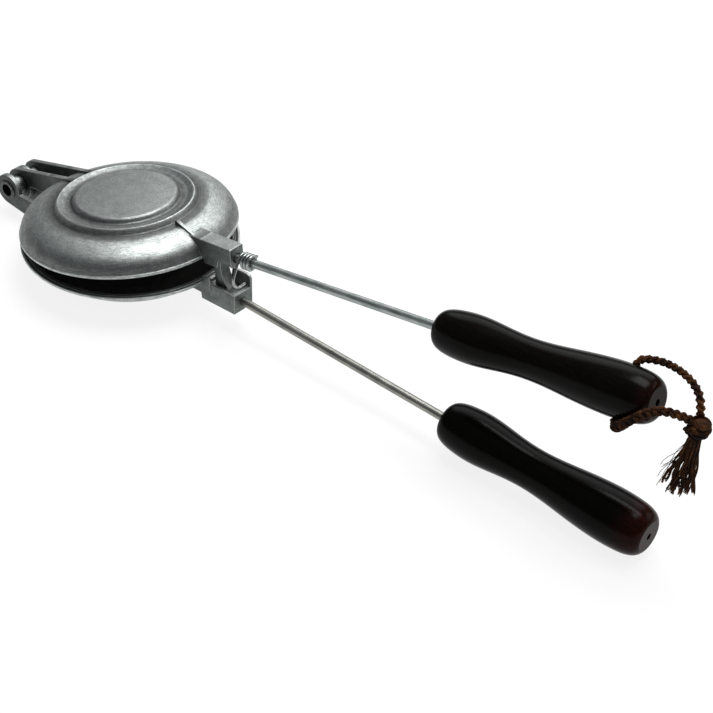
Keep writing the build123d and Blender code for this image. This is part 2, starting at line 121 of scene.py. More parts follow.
def evenly(points, step):
    """Points at equal steps along a line, with the line's first and last point kept."""
    shortest_run = 1e-9
    lengths = [0.0]
    for a, b in zip(points, points[1:]):
        lengths.append(lengths[-1] + (b - a).length)
    count = max(2, round(lengths[-1] / step))
    spaced = []
    at = 0
    for index in range(count + 1):
        wanted = lengths[-1] * index / count
        while at < len(points) - 2 and lengths[at + 1] < wanted:
            at += 1
        share = (wanted - lengths[at]) / max(lengths[at + 1] - lengths[at], shortest_run)
        spaced.append(points[at].lerp(points[at + 1], share))
    return spaced


def frames_along(points, first_side):
    """For each point of a line, two directions across it that turn as little as they can."""
    frames = []
    side = first_side
    for index in range(len(points)):
        before = points[max(index - 1, 0)]
        after = points[min(index + 1, len(points) - 1)]
        along = (after - before).normalized()
        side = (side - along * side.dot(along)).normalized()
        frames.append((side, along.cross(side)))
    return frames


def tube(points, radii, sides, vertices, faces):
    """Adds one closed tube round a line of points to the vertex and face lists of a mesh."""
    start = len(vertices)
    first_side = (points[1] - points[0]).orthogonal()
    for point, radius, (across, over) in zip(points, radii, frames_along(points, first_side)):
        for corner in range(sides):
            angle = 2 * pi * corner / sides
            vertices.append(point + (across * cos(angle) + over * sin(angle)) * radius)
    for ring in range(len(points) - 1):
        low = start + ring * sides
        for corner in range(sides):
            beside = (corner + 1) % sides
            faces.append((low + corner, low + beside, low + sides + beside, low + sides + corner))
    faces.append(tuple(reversed(range(start, start + sides))))
    faces.append(tuple(range(len(vertices) - sides, len(vertices))))


def piece(name, vertices, faces, material, body):
    """Makes a mesh piece with smooth faces and one material that rides on a body of the iron."""
    mesh = bpy.data.meshes.new(name)
    mesh.from_pydata(vertices, [], faces)
    mesh.polygons.foreach_set("use_smooth", [True] * len(mesh.polygons))
    mesh.materials.append(material)
    made = bpy.data.objects.new(name, mesh)
    bpy.context.scene.collection.objects.link(made)
    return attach(made, body)


strands = 3
yarns = 5
plait_lay = 10.8 * mm
plait_half_width = 1.35 * mm
plait_half_depth = 0.95 * mm
yarn_radius = 0.52 * mm
yarn_offset = 0.66 * mm
yarn_lay = 6.4 * mm
yarn_step = 0.42 * mm
yarn_sides = 6


def plait(line, vertices, faces, first_side=Vector((0, 0, 1)), swell=1.0, slack=0.0, lay=plait_lay):
    """Adds a three-strand plait along a line, each strand weaving over the other two.

    With slack it starts out that much looser and thicker, and is tight from a third of its length.
    """
    centres = evenly(line, yarn_step)
    step = sum((b - a).length for a, b in zip(centres, centres[1:])) / (len(centres) - 1)
    frames = frames_along(centres, first_side)
    shares = [index / (len(centres) - 1) for index in range(len(centres))]
    girths = [swell * (1 + slack * max(0.0, 1 - 3 * share) ** 0.5) for share in shares]
    for strand in range(strands):
        for yarn in range(yarns):
            path = []
            for index, (centre, (side, over)) in enumerate(zip(centres, frames)):
                weave = 2 * pi * (index * step / lay + strand / strands)
                twist = 2 * pi * (index * step / yarn_lay + yarn / yarns)
                across = plait_half_width * sin(weave) + yarn_offset * cos(twist)
                above = plait_half_depth * sin(2 * weave) + yarn_offset * sin(twist)
                path.append(centre + (side * across + over * above) * girths[index])
            tube(path, [yarn_radius * girth for girth in girths], yarn_sides, vertices, faces)


def linear(code):
    """A colour written as sRGB hex, as the linear values that a shader takes."""
    channels = [int(code[place : place + 2], 16) / 255 for place in (1, 3, 5)]
    return (*(c / 12.92 if c <= 0.04045 else ((c + 0.055) / 1.055) ** 2.4 for c in channels), 1.0)


def add_node(tree, kind, inputs=None, stops=(), **settings):
    """Adds one shader node, with its settings and with values or links for its inputs.

    A colour ramp also takes its stops, each a place from 0 to 1 and a hex colour.
    """
    made = tree.nodes.new(kind)
    for name, value in settings.items():
        setattr(made, name, value)
    for name, value in (inputs or {}).items():
        if isinstance(value, bpy.types.NodeSocket):
            tree.links.new(value, made.inputs[name])
        else:
            made.inputs[name].default_value = value
    for place, code in stops[1:-1]:
        made.color_ramp.elements.new(place).color = linear(code)
    if stops:
        ends = made.color_ramp.elements
        for end, (place, code) in ((ends[0], stops[0]), (ends[len(ends) - 1], stops[-1])):
            end.position = place
            end.color = linear(code)
    return made


def new_material(name):
    """A new material, its node tree and its main shader."""
    made = bpy.data.materials.new(name)
    made.use_nodes = True
    return made, made.node_tree, made.node_tree.nodes["Principled BSDF"]


# Twisted cotton dyed dark brown: matt, with pale fluff on the crowns of the yarns and near black
# between them. The fibres are 0.02 mm thick, drawn over ten times coarser so that they show.
brown_cotton, tree, shader = new_material("brown_cotton")
place = add_node(tree, "ShaderNodeTexCoord").outputs["Object"]
fibre_size = 0.25 * mm
patch_size = 6.0 * mm
fluff_height = 0.1 * mm
fibres = add_node(tree, "ShaderNodeTexNoise", {"Vector": place, "Scale": 1 / fibre_size, "Detail": 3.0})
patches = add_node(tree, "ShaderNodeTexNoise", {"Vector": place, "Scale": 1 / patch_size, "Detail": 2.0})
mixed = add_node(tree, "ShaderNodeMath", {0: fibres.outputs["Fac"], 1: patches.outputs["Fac"]})
halved = add_node(tree, "ShaderNodeMath", {0: mixed.outputs[0], 1: 0.5}, operation="MULTIPLY")
cotton_stops = [(0.38, "#0D0502"), (0.5, "#2A1508"), (0.62, "#5A3615")]
cotton_colour = add_node(tree, "ShaderNodeValToRGB", {"Fac": halved.outputs[0]}, stops=cotton_stops)
tree.links.new(cotton_colour.outputs["Color"], shader.inputs["Base Color"])
fluff = add_node(
    tree, "ShaderNodeBump", {"Height": fibres.outputs["Fac"], "Strength": 0.5, "Distance": fluff_height}
)
tree.links.new(fluff.outputs["Normal"], shader.inputs["Normal"])
shader.inputs["Roughness"].default_value = 0.85
shader.inputs["Specular IOR Level"].default_value = 0.15

far_route = [
    hole_mouth(1),
    hole_mouth(1, 3.4 * mm),
    on_upper(360.6, 15.0, 31.2),
    on_upper(371.0, 14.0, 31.0),
    on_upper(381.4, 10.6, 29.6),
    on_upper(389.6, 6.0, 25.2),
    on_upper(391.4, 2.4, 18.4),
]
near_route = [
    hole_mouth(-1),
    hole_mouth(-1, 3.0 * mm),
    on_upper(355.4, -15.0, 6.6),
    on_upper(363.4, -17.6, 14.4),
    on_upper(373.0, -14.8, 22.6),
    on_upper(382.0, -9.6, 23.8),
    on_upper(389.8, -2.8, 17.4),
]
near_slack = 0.3
strand_ends = {}
for name, route, slack in (("far_strand", far_route, 0.0), ("near_strand", near_route, near_slack)):
    line = cord_line(name, route)
    vertices, faces = [], []
    plait(line, vertices, faces, slack=slack)
    made = piece(name, vertices, faces, brown_cotton, "upper")
    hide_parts("cord_" + name)
    strand_ends[name] = (made, line)

vertices, faces = [], []
plait([hole_mouth(-1), hole_mouth(1)], vertices, faces, first_side=Vector((1, 0, 0)))
threaded_cord = piece("threaded_cord", vertices, faces, brown_cotton, "upper")
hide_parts("cord_in_handle")

# Knot: both ends of the plait laid together and tied in one fat overhand knot.
# Three turns show on it, pulled so tight that the strands lie flat, and a slack loop at the left.
knot_centre = on_upper(392.5, 0.0, 12.5)
knot_turns = 3.2
knot_height = 9.0 * mm
turn_radius = 4.9 * mm
end_narrowing = 0.36
pulled_lay = 90.0 * mm
knot_axis = Vector((0.16, -0.1, 1.0)).normalized()
knot_side = Vector((-0.785, -0.62, 0.0))
knot_side = (knot_side - knot_axis * knot_side.dot(knot_axis)).normalized()
knot_front = knot_axis.cross(knot_side)
knot_route = []
steps = 40
for index in range(steps + 1):
    share = index / steps
    angle = 2 * pi * knot_turns * share
    height = knot_height * (0.5 - share)
    radius = turn_radius * (1 - end_narrowing * (2 * share - 1) ** 2)
    around = knot_side * cos(angle) + knot_front * sin(angle)
    knot_route.append(knot_centre + around * radius + knot_axis * height)
vertices, faces = [], []
plait(cord_line("knot", knot_route), vertices, faces, knot_axis, swell=0.64, lay=pulled_lay)

# The slack loop's points, in millimetres up the knot's axis, to its front and to its side
loop_route = [
    knot_centre + knot_axis * (up * mm) + knot_front * (front * mm) + knot_side * (side * mm)
    for up, front, side in (
        (2.2, 3.0, 2.2),
        (1.2, 3.4, 4.4),
        (-0.8, 1.2, 6.0),
        (-3.2, -1.4, 5.2),
        (-4.6, -1.6, 2.4),
        (-4.4, 0.0, 0.0),
    )
]
plait(cord_line("loop", loop_route), vertices, faces, swell=0.8)

# A core fills what shows between the turns: millimetres up the knot's axis, and its radius there
core = ((4.6, 2.4), (3.4, 3.4), (1.6, 4.1), (0.0, 4.4), (-1.6, 4.2), (-3.4, 3.6), (-5.4, 2.8))
core_line = [knot_centre + knot_axis * (up * mm) for up, _ in core]
core_radii = [radius * mm for _, radius in core]
core_sides = 20
tube(core_line, core_radii, core_sides, vertices, faces)
knot = piece("knot", vertices, faces, brown_cotton, "upper")
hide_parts("cord_knot")

# Tassel: the plait's ends below the knot, frayed out to their single yarns.
# The yarns hang together in loose plies, cut unevenly, and a few stray out to the left.
dice = random.Random(5)
tassel_top = on_upper(391.2, -0.5, 8.6)
tassel_end = on_upper(382.6, -1.8, -30.6)
tassel_way = (tassel_end - tassel_top).normalized()
tassel_wide = Vector((0.785, 0.62, 0.0))
tassel_wide = (tassel_wide - tassel_way * tassel_wide.dot(tassel_way)).normalized()
tassel_deep = tassel_way.cross(tassel_wide)
tassel_length = (tassel_end - tassel_top).length
thread_radius = 0.31 * mm
thread_points = 14
thread_sides = 5
thread_taper = 0.25
flare = 1.35
bends_wide = 9.0
bends_deep = 7.0
vertices, faces = [], []


def thread(start, end, cut, sway, radius, swing):
    """One hanging yarn: start and end are places across the tassel, in millimetres."""
    path = []
    radii = []
    for index in range(thread_points + 1):
        share = index / thread_points
        spread = share**flare
        wide = start[0] + (end[0] - start[0]) * spread + sway * sin(swing + bends_wide * share) * share
        deep = start[1] + (end[1] - start[1]) * spread + sway * cos(swing + bends_deep * share) * share
        plumb = tassel_top + tassel_way * (tassel_length * cut * share)
        path.append(plumb + tassel_wide * (wide * mm) + tassel_deep * (deep * mm))
        radii.append(radius * (1.0 - thread_taper * share))
    tube(path, radii, thread_sides, vertices, faces)


# The plies stand on a spiral, in millimetres across the tassel at its root and at its foot
plies = 28
ply_yarns = 7
spiral_rounds = 5.17
root_wide, root_deep = 2.9, 2.7
foot_wide, foot_deep, foot_shift = 9.2, 4.8, -1.0
root_scatter = (0.5, 0.5)
foot_scatter = (0.8, 0.7)
ply_cut = (0.86, 1.0)
ply_sway = (0.5, 1.0)
yarn_cut = (0.94, 1.0)
shorter_at_left = 0.14
for ply in range(plies):
    turn = 2 * pi * ply / plies * spiral_rounds
    reach = ((ply + 0.5) / plies) ** 0.5
    top = (root_wide * reach * cos(turn), root_deep * reach * sin(turn))
    bottom = (foot_wide * reach * cos(turn) + foot_shift, foot_deep * reach * sin(turn))
    cut = dice.uniform(*ply_cut) - shorter_at_left * max(0.0, -cos(turn)) * reach
    swing = dice.uniform(0, 2 * pi)
    sway = dice.uniform(*ply_sway)
    for _ in range(ply_yarns):
        start = [at + dice.uniform(-most, most) for at, most in zip(top, root_scatter)]
        end = [at + dice.uniform(-most, most) for at, most in zip(bottom, foot_scatter)]
        thread(start, end, cut * dice.uniform(*yarn_cut), sway, thread_radius, swing)

# The strays are single thin yarns at the left, and their ends lie anywhere in a small field
strays = 7
stray_root = -1.8
stray_root_depth = 1.5
stray_field = ((-12.5, -8.5), (-4.0, 4.0))
stray_cut = (0.55, 0.85)
stray_sway = 0.9
stray_radius = 0.2 * mm
for _ in range(strays):
    end = [dice.uniform(*span) for span in stray_field]
    start = (stray_root, dice.uniform(-stray_root_depth, stray_root_depth))
    thread(start, end, dice.uniform(*stray_cut), stray_sway, stray_radius, dice.uniform(0, 2 * pi))
tassel = piece("tassel", vertices, faces, brown_cotton, "upper")
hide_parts("cord_tassel")

for name, shown_length, pieces_on_it in (
    ("far_strand", 0.0540, [knot, tassel]),
    ("near_strand", 0.0561, [knot]),
):
    made, line = strand_ends[name]

# Dishes: two cast aluminium shells with their hinge arms and front blocks, tumbled after casting.
# That leaves a satin skin with faint cloudy patches. Shade is painted into its valleys and on the steep
# sides, darkest at the hinge; highlights are painted on its rubbed edges and along both edges of the
# trimmed rim; and inside it is near black. Grit and streaks are drawn coarser, so that they show.
dish_rim = 65.0 * mm
dish_mouth = 60.4 * mm
arms_start = 44.0 * mm
edge_margin = 0.1 * mm
edge_fade = 0.8 * mm
grit_size = 0.7 * mm
cloud_size = 6.0 * mm
streak_size = 0.9 * mm


def in_half(tree, half):
    """The place and the facing of the surface, both read in one half's own frame."""
    coordinates = add_node(tree, "ShaderNodeTexCoord")
    back = half.inverted()
    turn = back.to_euler()
    place = add_node(
        tree,
        "ShaderNodeMapping",
        {"Vector": coordinates.outputs["Object"], "Location": back.translation, "Rotation": turn},
    )
    facing = add_node(
        tree,
        "ShaderNodeMapping",
        {"Vector": coordinates.outputs["Normal"], "Rotation": turn},
        vector_type="VECTOR",
    )
    return place.outputs["Vector"], facing.outputs["Vector"]


def casting_marks(tree, place, spoke, radius, height, outside):
    """The casting's clouds and grit, and both mixed with the streaks that tumbling leaves."""
    # The streaks run round the dish: fine across the radius and drawn out along the turn
    streak_stretch = 0.012
    round_way = add_node(
        tree, "ShaderNodeVectorMath", {0: spoke, "Scale": streak_stretch}, operation="SCALE"
    )
    around = add_node(tree, "ShaderNodeSeparateXYZ", {"Vector": round_way.outputs[0]})
    outward = add_node(tree, "ShaderNodeMath", {0: radius, 1: height}, operation="SUBTRACT")
    turned = add_node(
        tree,
        "ShaderNodeCombineXYZ",
        {"X": around.outputs["X"], "Y": around.outputs["Y"], "Z": outward.outputs[0]},
    ).outputs[0]
    streaks = add_node(
        tree, "ShaderNodeTexNoise", {"Vector": turned, "Scale": 1 / streak_size, "Detail": 3.0}
    ).outputs["Fac"]
    on_dish = add_node(tree, "ShaderNodeMix", {"Factor": outside, 2: streaks, 3: 0.5}).outputs[0]
    clouds = add_node(
        tree, "ShaderNodeTexNoise", {"Vector": place, "Scale": 1 / cloud_size, "Detail": 5.0}
    ).outputs["Fac"]
    grit = add_node(
        tree, "ShaderNodeTexNoise", {"Vector": place, "Scale": 1 / grit_size, "Detail": 2.0}
    ).outputs["Fac"]
    mottle = 0.0
    for mark, share in ((clouds, 0.25), (on_dish, 0.35), (grit, 0.4)):
        mottle = add_node(
            tree, "ShaderNodeMath", {0: mark, 1: share, 2: mottle}, operation="MULTIPLY_ADD"
        ).outputs[0]
    return clouds, grit, mottle


def satin_skin_with_painted_shade(tree, mottle, radius):
    """The satin skin's colour, with painted shade in the valleys beside the ring and low on the side."""
    satin_stops = [(0.38, "#8E9492"), (0.5, "#B0B5B3"), (0.62, "#D0D4D2")]
    satin = add_node(tree, "ShaderNodeValToRGB", {"Fac": mottle}, stops=satin_stops)
    # Painted shade by millimetres from the dish's centre: darker in the valleys, the crests left bright
    shade_by_radius = [
        (0.0, "#FFFFFF"),
        (28.6, "#FFFFFF"),
        (30.8, "#B4B4B4"),
        (33.0, "#949494"),
        (36.0, "#C0C0C0"),
        (39.2, "#CCCCCC"),
        (40.3, "#FFFFFF"),
        (41.2, "#A8A8A8"),
        (43.0, "#888888"),
        (47.0, "#B0B0B0"),
        (50.5, "#F4F4F4"),
        (58.0, "#E6E6E6"),
        (63.0, "#ACACAC"),
        (64.4, "#B4B4B4"),
        (64.7, "#FFFFFF"),
        (65.0, "#FFFFFF"),
        (67.0, "#D8D8D8"),
    ]
    shade_end = shade_by_radius[-1][0] * mm
    from_centre = add_node(tree, "ShaderNodeMath", {0: radius, 1: shade_end}, operation="DIVIDE")
    painted_shade = add_node(
        tree,
        "ShaderNodeValToRGB",
        {"Fac": from_centre.outputs[0]},
        stops=[(out * mm / shade_end, code) for out, code in shade_by_radius],
    )
    # The satin colour multiplied by the painted shade
    return add_node(
        tree,
        "ShaderNodeMix",
        {"Factor": 1.0, 6: satin.outputs["Color"], 7: painted_shade.outputs["Color"]},
        data_type="RGBA",
        blend_type="MULTIPLY",
    ).outputs[2]


def raw_and_shaded_faces(tree, upness, facing, spoke, radius, outside):
    """Where the steep sides of the arms and the blocks are, which get the dull skin and painted shade."""
    facing_out = add_node(tree, "ShaderNodeVectorMath", {0: facing, 1: spoke}, operation="DOT_PRODUCT")
    standing = []
    for leaning, least, most in ((upness, 0.1, 0.6), (facing_out.outputs["Value"], 0.4, 0.6)):
        lean = add_node(tree, "ShaderNodeMath", {0: leaning}, operation="ABSOLUTE").outputs[0]
        standing.append(
            add_node(
                tree,
                "ShaderNodeMapRange",
                {"Value": lean, "From Min": least, "From Max": most, "To Min": 1.0, "To Max": 0.0},
            ).outputs[0]
        )
    steep, sideways = standing
    beyond_ring = add_node(tree, "ShaderNodeMath", {0: radius, 1: arms_start}, operation="GREATER_THAN")
    arm_side = add_node(
        tree, "ShaderNodeMath", {0: sideways, 1: beyond_ring.outputs[0]}, operation="MULTIPLY"
    )
    arms = add_node(tree, "ShaderNodeMath", {0: arm_side.outputs[0], 1: outside}, operation="MAXIMUM")
    return add_node(tree, "ShaderNodeMath", {0: steep, 1: arms.outputs[0]}, operation="MULTIPLY").outputs[0]


def raw_and_shaded_skin(tree, clouds, grit, along):
    """The dull skin as it left the mould, with its pits, and painted shade that is darkest at the hinge."""
    left_at_hinge = 0.55
    pitting = add_node(tree, "ShaderNodeMix", {"Factor": 0.5, 2: clouds, 3: grit}).outputs[0]
    # The steep faces' dull skin, painted darker than the satin as shade
    dull_and_shaded_stops = [(0.38, "#5C625F"), (0.5, "#6A706D"), (0.62, "#7A807D")]
    dull = add_node(tree, "ShaderNodeValToRGB", {"Fac": pitting}, stops=dull_and_shaded_stops)
    # Painted shade: the skin is darkened towards the hinge
    painted_shade_to_hinge = add_node(
        tree,
        "ShaderNodeMapRange",
        {"Value": along, "From Min": -dish_rim, "From Max": 0.0, "To Min": left_at_hinge},
    ).outputs[0]
    return add_node(
        tree, "ShaderNodeVectorMath", {0: dull.outputs["Color"], "Scale": painted_shade_to_hinge}, operation="SCALE"
    ).outputs[0]


def rounded_edges_wear_and_highlight(tree):
    """The facing with its edges rounded by the tumbling, and where they are rubbed bright, partly as a
    painted highlight.
    """
    rounding = 0.8 * mm
    hollow_reach = 2.0 * mm
    brightest_edge = 0.7
    rounded = add_node(tree, "ShaderNodeBevel", {"Radius": rounding}, samples=8).outputs["Normal"]
    true_normal = add_node(tree, "ShaderNodeNewGeometry").outputs["Normal"]
    flatness = add_node(
        tree, "ShaderNodeVectorMath", {0: rounded, 1: true_normal}, operation="DOT_PRODUCT"
    ).outputs["Value"]
    # Painted highlight, with wear, along the convex edges
    on_edge = add_node(
        tree,
        "ShaderNodeMapRange",
        {"Value": flatness, "From Min": 0.98, "From Max": 0.8, "To Min": 0.0, "To Max": brightest_edge},
    ).outputs[0]
    hollows = add_node(tree, "ShaderNodeAmbientOcclusion", {"Distance": hollow_reach}, samples=8)
    standing_out = add_node(
        tree,
        "ShaderNodeMapRange",
        {"Value": hollows.outputs["AO"], "From Min": 0.7, "From Max": 0.95},
    ).outputs[0]
    edge_wear_and_highlight = add_node(tree, "ShaderNodeMath", {0: on_edge, 1: standing_out}, operation="MULTIPLY")
    return rounded, edge_wear_and_highlight.outputs[0]


def faces_within(tree, upness, radius, outside, inside_faces_up):
    """The faces that look into the closed iron: the near black ones in the mouth, and the rim's."""
    level = 0.02
    in_mouth = add_node(
        tree, "ShaderNodeMath", {0: radius, 1: dish_mouth + edge_margin}, operation="LESS_THAN"
    ).outputs[0]
    inward = add_node(
        tree,
        "ShaderNodeMath",
        {0: upness, 1: level if inside_faces_up else -level},
        operation="GREATER_THAN" if inside_faces_up else "LESS_THAN",
    ).outputs[0]
    mouth_faces = add_node(tree, "ShaderNodeMath", {0: in_mouth, 1: inward}, operation="MULTIPLY").outputs[0]
    on_dish = add_node(tree, "ShaderNodeMath", {0: inward, 1: outside}, operation="SUBTRACT").outputs[0]
    on_rim = add_node(tree, "ShaderNodeMath", {0: on_dish, 1: 0.0}, operation="MAXIMUM").outputs[0]
    return mouth_faces, on_rim


def trimmed_rim_highlights(tree, radius):
    """The flat rim as the trimming tool left it, with painted highlights along its two edges and darker
    between.
    """
    across = add_node(
        tree, "ShaderNodeMapRange", {"Value": radius, "From Min": dish_mouth, "From Max": dish_rim}
    ).outputs[0]
    rim_highlight_stops = [(0.0, "#C4C8C6"), (0.25, "#5E6361"), (0.7, "#565B59"), (0.85, "#C4C8C6")]
    return add_node(tree, "ShaderNodeValToRGB", {"Fac": across}, stops=rim_highlight_stops).outputs["Color"]


def near_black_inside(tree, clouds):
    """The faces inside the dishes: near black, and a little patchy."""
    near_black_stops = [(0.3, "#242622"), (0.7, "#383A35")]
    return add_node(tree, "ShaderNodeValToRGB", {"Fac": clouds}, stops=near_black_stops).outputs["Color"]


def skin_dullness(tree, mottle, radius):
    """How dull the skin is: standing on stoves has worn the flat disc smoother than the rest."""
    disc_worn = 28.0 * mm
    disc_end = 31.0 * mm
    disc_share = 0.7
    skin = add_node(
        tree,
        "ShaderNodeMapRange",
        {"Value": mottle, "From Min": 0.35, "From Max": 0.65, "To Min": 0.58, "To Max": 0.44},
    ).outputs[0]
    disc = add_node(
        tree,
        "ShaderNodeMapRange",
        {"Value": radius, "From Min": disc_worn, "From Max": disc_end, "To Min": disc_share},
    ).outputs[0]
    return add_node(tree, "ShaderNodeMath", {0: skin, 1: disc}, operation="MULTIPLY").outputs[0]


def cast_relief(tree, clouds, grit, rounded):
    """The shallow dents and the sand grit of the casting, laid over the rounded facing."""
    relief = rounded
    for height, strength, depth in ((clouds, 0.4, 0.25 * mm), (grit, 0.6, 0.12 * mm)):
        relief = add_node(
            tree,
            "ShaderNodeBump",
            {"Height": height, "Strength": strength, "Distance": depth, "Normal": relief},
        ).outputs[0]
    return relief


def cast_aluminium(name, half, inside_faces_up):
    """Tumbled cast aluminium of one half, read in that half's own frame from its dish's centre."""
    made, tree, shader = new_material(name)
    place, facing = in_half(tree, half)
    parts = add_node(tree, "ShaderNodeSeparateXYZ", {"Vector": place}).outputs
    flat = add_node(tree, "ShaderNodeCombineXYZ", {"X": parts["X"], "Y": parts["Y"]}).outputs[0]
    radius = add_node(tree, "ShaderNodeVectorMath", {0: flat}, operation="LENGTH").outputs["Value"]
    spoke = add_node(tree, "ShaderNodeVectorMath", {0: flat}, operation="NORMALIZE").outputs[0]
    upness = add_node(tree, "ShaderNodeSeparateXYZ", {"Vector": facing}).outputs["Z"]

    # Outside the round dish lie the ends of the hinge arms and the front block
    outside = add_node(
        tree,
        "ShaderNodeMapRange",
        {"Value": radius, "From Min": dish_rim + edge_margin, "From Max": dish_rim + edge_fade},
    ).outputs[0]
    clouds, grit, mottle = casting_marks(tree, place, spoke, radius, parts["Z"], outside)
    mouth_faces, on_rim = faces_within(tree, upness, radius, outside, inside_faces_up)
    rounded, edge_wear_and_highlight = rounded_edges_wear_and_highlight(tree)
    colour = satin_skin_with_painted_shade(tree, mottle, radius)
    # Laid over in turn: painted shade on the steep faces, the rim's painted highlights, the near black
    # inside,
    # and the edges' wear with painted highlights
    for where, laid_over in (
        (raw_and_shaded_faces(tree, upness, facing, spoke, radius, outside), raw_and_shaded_skin(tree, clouds, grit, parts["X"])),
        (on_rim, trimmed_rim_highlights(tree, radius)),
        (mouth_faces, near_black_inside(tree, clouds)),
        (edge_wear_and_highlight, linear("#BEC2C0")),
    ):
        colour = add_node(
            tree, "ShaderNodeMix", {"Factor": where, 6: colour, 7: laid_over}, data_type="RGBA"
        ).outputs[2]
    bare = add_node(tree, "ShaderNodeMath", {0: 1.0, 1: mouth_faces}, operation="SUBTRACT").outputs[0]
    tree.links.new(colour, shader.inputs["Base Color"])
    tree.links.new(bare, shader.inputs["Metallic"])
    tree.links.new(skin_dullness(tree, mottle, radius), shader.inputs["Roughness"])
    tree.links.new(cast_relief(tree, clouds, grit, rounded), shader.inputs["Normal"])
    return made


def refinish(node, material):
    """Gives a solid of the frame its real finish."""
    for slot in frame["nodes"][node].material_slots:
        slot.material = material


refinish("lower_dish", cast_aluminium("lower_casting", lower_half, True))
refinish("upper_dish", cast_aluminium("upper_casting", upper_half, False))

# Hinge: a steel tube as the pin, with turned steel bushes between the arms and a washer.
# Turned steel has fine rings round the pin, drawn coarser so that they show, and a bright shine.
tool_pitch = 0.8 * mm
smear_size = 4.0 * mm


def bare_steel(tree, shader, marks, stops, smoothest, dullest):
    """A steel face with no coat: its colour and its dullness both follow the same marks."""
    colour = add_node(tree, "ShaderNodeValToRGB", {"Fac": marks}, stops=stops).outputs["Color"]
    tree.links.new(colour, shader.inputs["Base Color"])
    shader.inputs["Metallic"].default_value = 1.0
    dullness = add_node(
        tree, "ShaderNodeMapRange", {"Value": marks, "To Min": smoothest, "To Max": dullest}
    )
    tree.links.new(dullness.outputs[0], shader.inputs["Roughness"])


turned_steel, tree, shader = new_material("turned_steel")
place = add_node(tree, "ShaderNodeTexCoord").outputs["Object"]
along_pin = add_node(tree, "ShaderNodeSeparateXYZ", {"Vector": place}).outputs["Y"]
from_pin = add_node(tree, "ShaderNodeCombineXYZ", {"Y": along_pin}).outputs[0]
rings = add_node(
    tree, "ShaderNodeTexNoise", {"Vector": from_pin, "Scale": 1 / tool_pitch, "Detail": 2.0}
).outputs["Fac"]
smears = add_node(tree, "ShaderNodeTexNoise", {"Vector": place, "Scale": 1 / smear_size}).outputs["Fac"]
bare_steel(tree, shader, smears, [(0.3, "#8C9190"), (0.7, "#B9BDBB")], smoothest=0.22, dullest=0.36)
ringed = add_node(
    tree, "ShaderNodeBump", {"Height": rings, "Strength": 0.25, "Distance": 0.03 * mm}
).outputs[0]
tree.links.new(ringed, shader.inputs["Normal"])
for node in ("hinge_washer", "near_spacer", "far_spacer", "lower_rod_pin", "upper_rod_pin"):
    refinish(node, turned_steel)

# The pin itself is soft steel tube, its ends rolled over the ears: darker, and dull from handling
worn_tube, tree, shader = new_material("worn_steel_tube")
place = add_node(tree, "ShaderNodeTexCoord").outputs["Object"]
pit_size = 1.6 * mm
pits = add_node(
    tree, "ShaderNodeTexNoise", {"Vector": place, "Scale": 1 / pit_size, "Detail": 4.0}
).outputs["Fac"]
bare_steel(tree, shader, pits, [(0.35, "#3C403E"), (0.65, "#666B69")], smoothest=0.34, dullest=0.52)
pitted = add_node(
    tree, "ShaderNodeBump", {"Height": pits, "Strength": 0.4, "Distance": 0.08 * mm}
).outputs[0]
tree.links.new(pitted, shader.inputs["Normal"])
refinish("hinge_pin", worn_tube)

# Rods: round steel, drawn and then plated with bright zinc, pinned in the blocks.
# The plate is smooth, with faint lines along the rod, drawn coarser so that they show.
# The lower rod's is warmer, browned by the fire.
line_length = 40.0 * mm
line_width = 2.0 * mm
bloom_size = 9.0 * mm


def zinc_plate(name, dull, bright):
    """Bright zinc plate on a drawn rod, between two hex colours."""
    made, tree, shader = new_material(name)
    place = add_node(tree, "ShaderNodeTexCoord").outputs["Object"]
    drawn_out = add_node(
        tree,
        "ShaderNodeMapping",
        {"Vector": place, "Scale": (1 / line_length, 1 / line_width, 1 / line_width)},
    ).outputs[0]
    draw_lines = add_node(tree, "ShaderNodeTexNoise", {"Vector": drawn_out, "Scale": 1.0}).outputs["Fac"]
    bloom = add_node(
        tree, "ShaderNodeTexNoise", {"Vector": place, "Scale": 1 / bloom_size, "Detail": 4.0}
    ).outputs["Fac"]
    marks = add_node(tree, "ShaderNodeMix", {"Factor": 0.5, 2: draw_lines, 3: bloom}).outputs[0]
    bare_steel(tree, shader, marks, [(0.35, dull), (0.65, bright)], smoothest=0.34, dullest=0.48)
    return made


cool_zinc = zinc_plate("bright_zinc_plate", "#7F8785", "#AEB4B2")
warm_zinc = zinc_plate("browned_zinc_plate", "#737370", "#A19F99")
refinish("lower_rod", warm_zinc)
for node in ("upper_rod", "upper_washer", "lower_washer"):
    refinish(node, cool_zinc)

# Catch: hard drawn spring wire, coiled loosely round the upper rod and bent down to a hook.
# It is brighter than the rods, with faint scuffs from the winding.
spring_wire, tree, shader = new_material("drawn_spring_wire")
place = add_node(tree, "ShaderNodeTexCoord").outputs["Object"]
scuff_size = 1.2 * mm
scuffs = add_node(
    tree, "ShaderNodeTexNoise", {"Vector": place, "Scale": 1 / scuff_size, "Detail": 3.0}
).outputs["Fac"]
bare_steel(tree, shader, scuffs, [(0.3, "#7C8381"), (0.7, "#B2B7B5")], smoothest=0.2, dullest=0.34)
refinish("catch_spring", spring_wire)

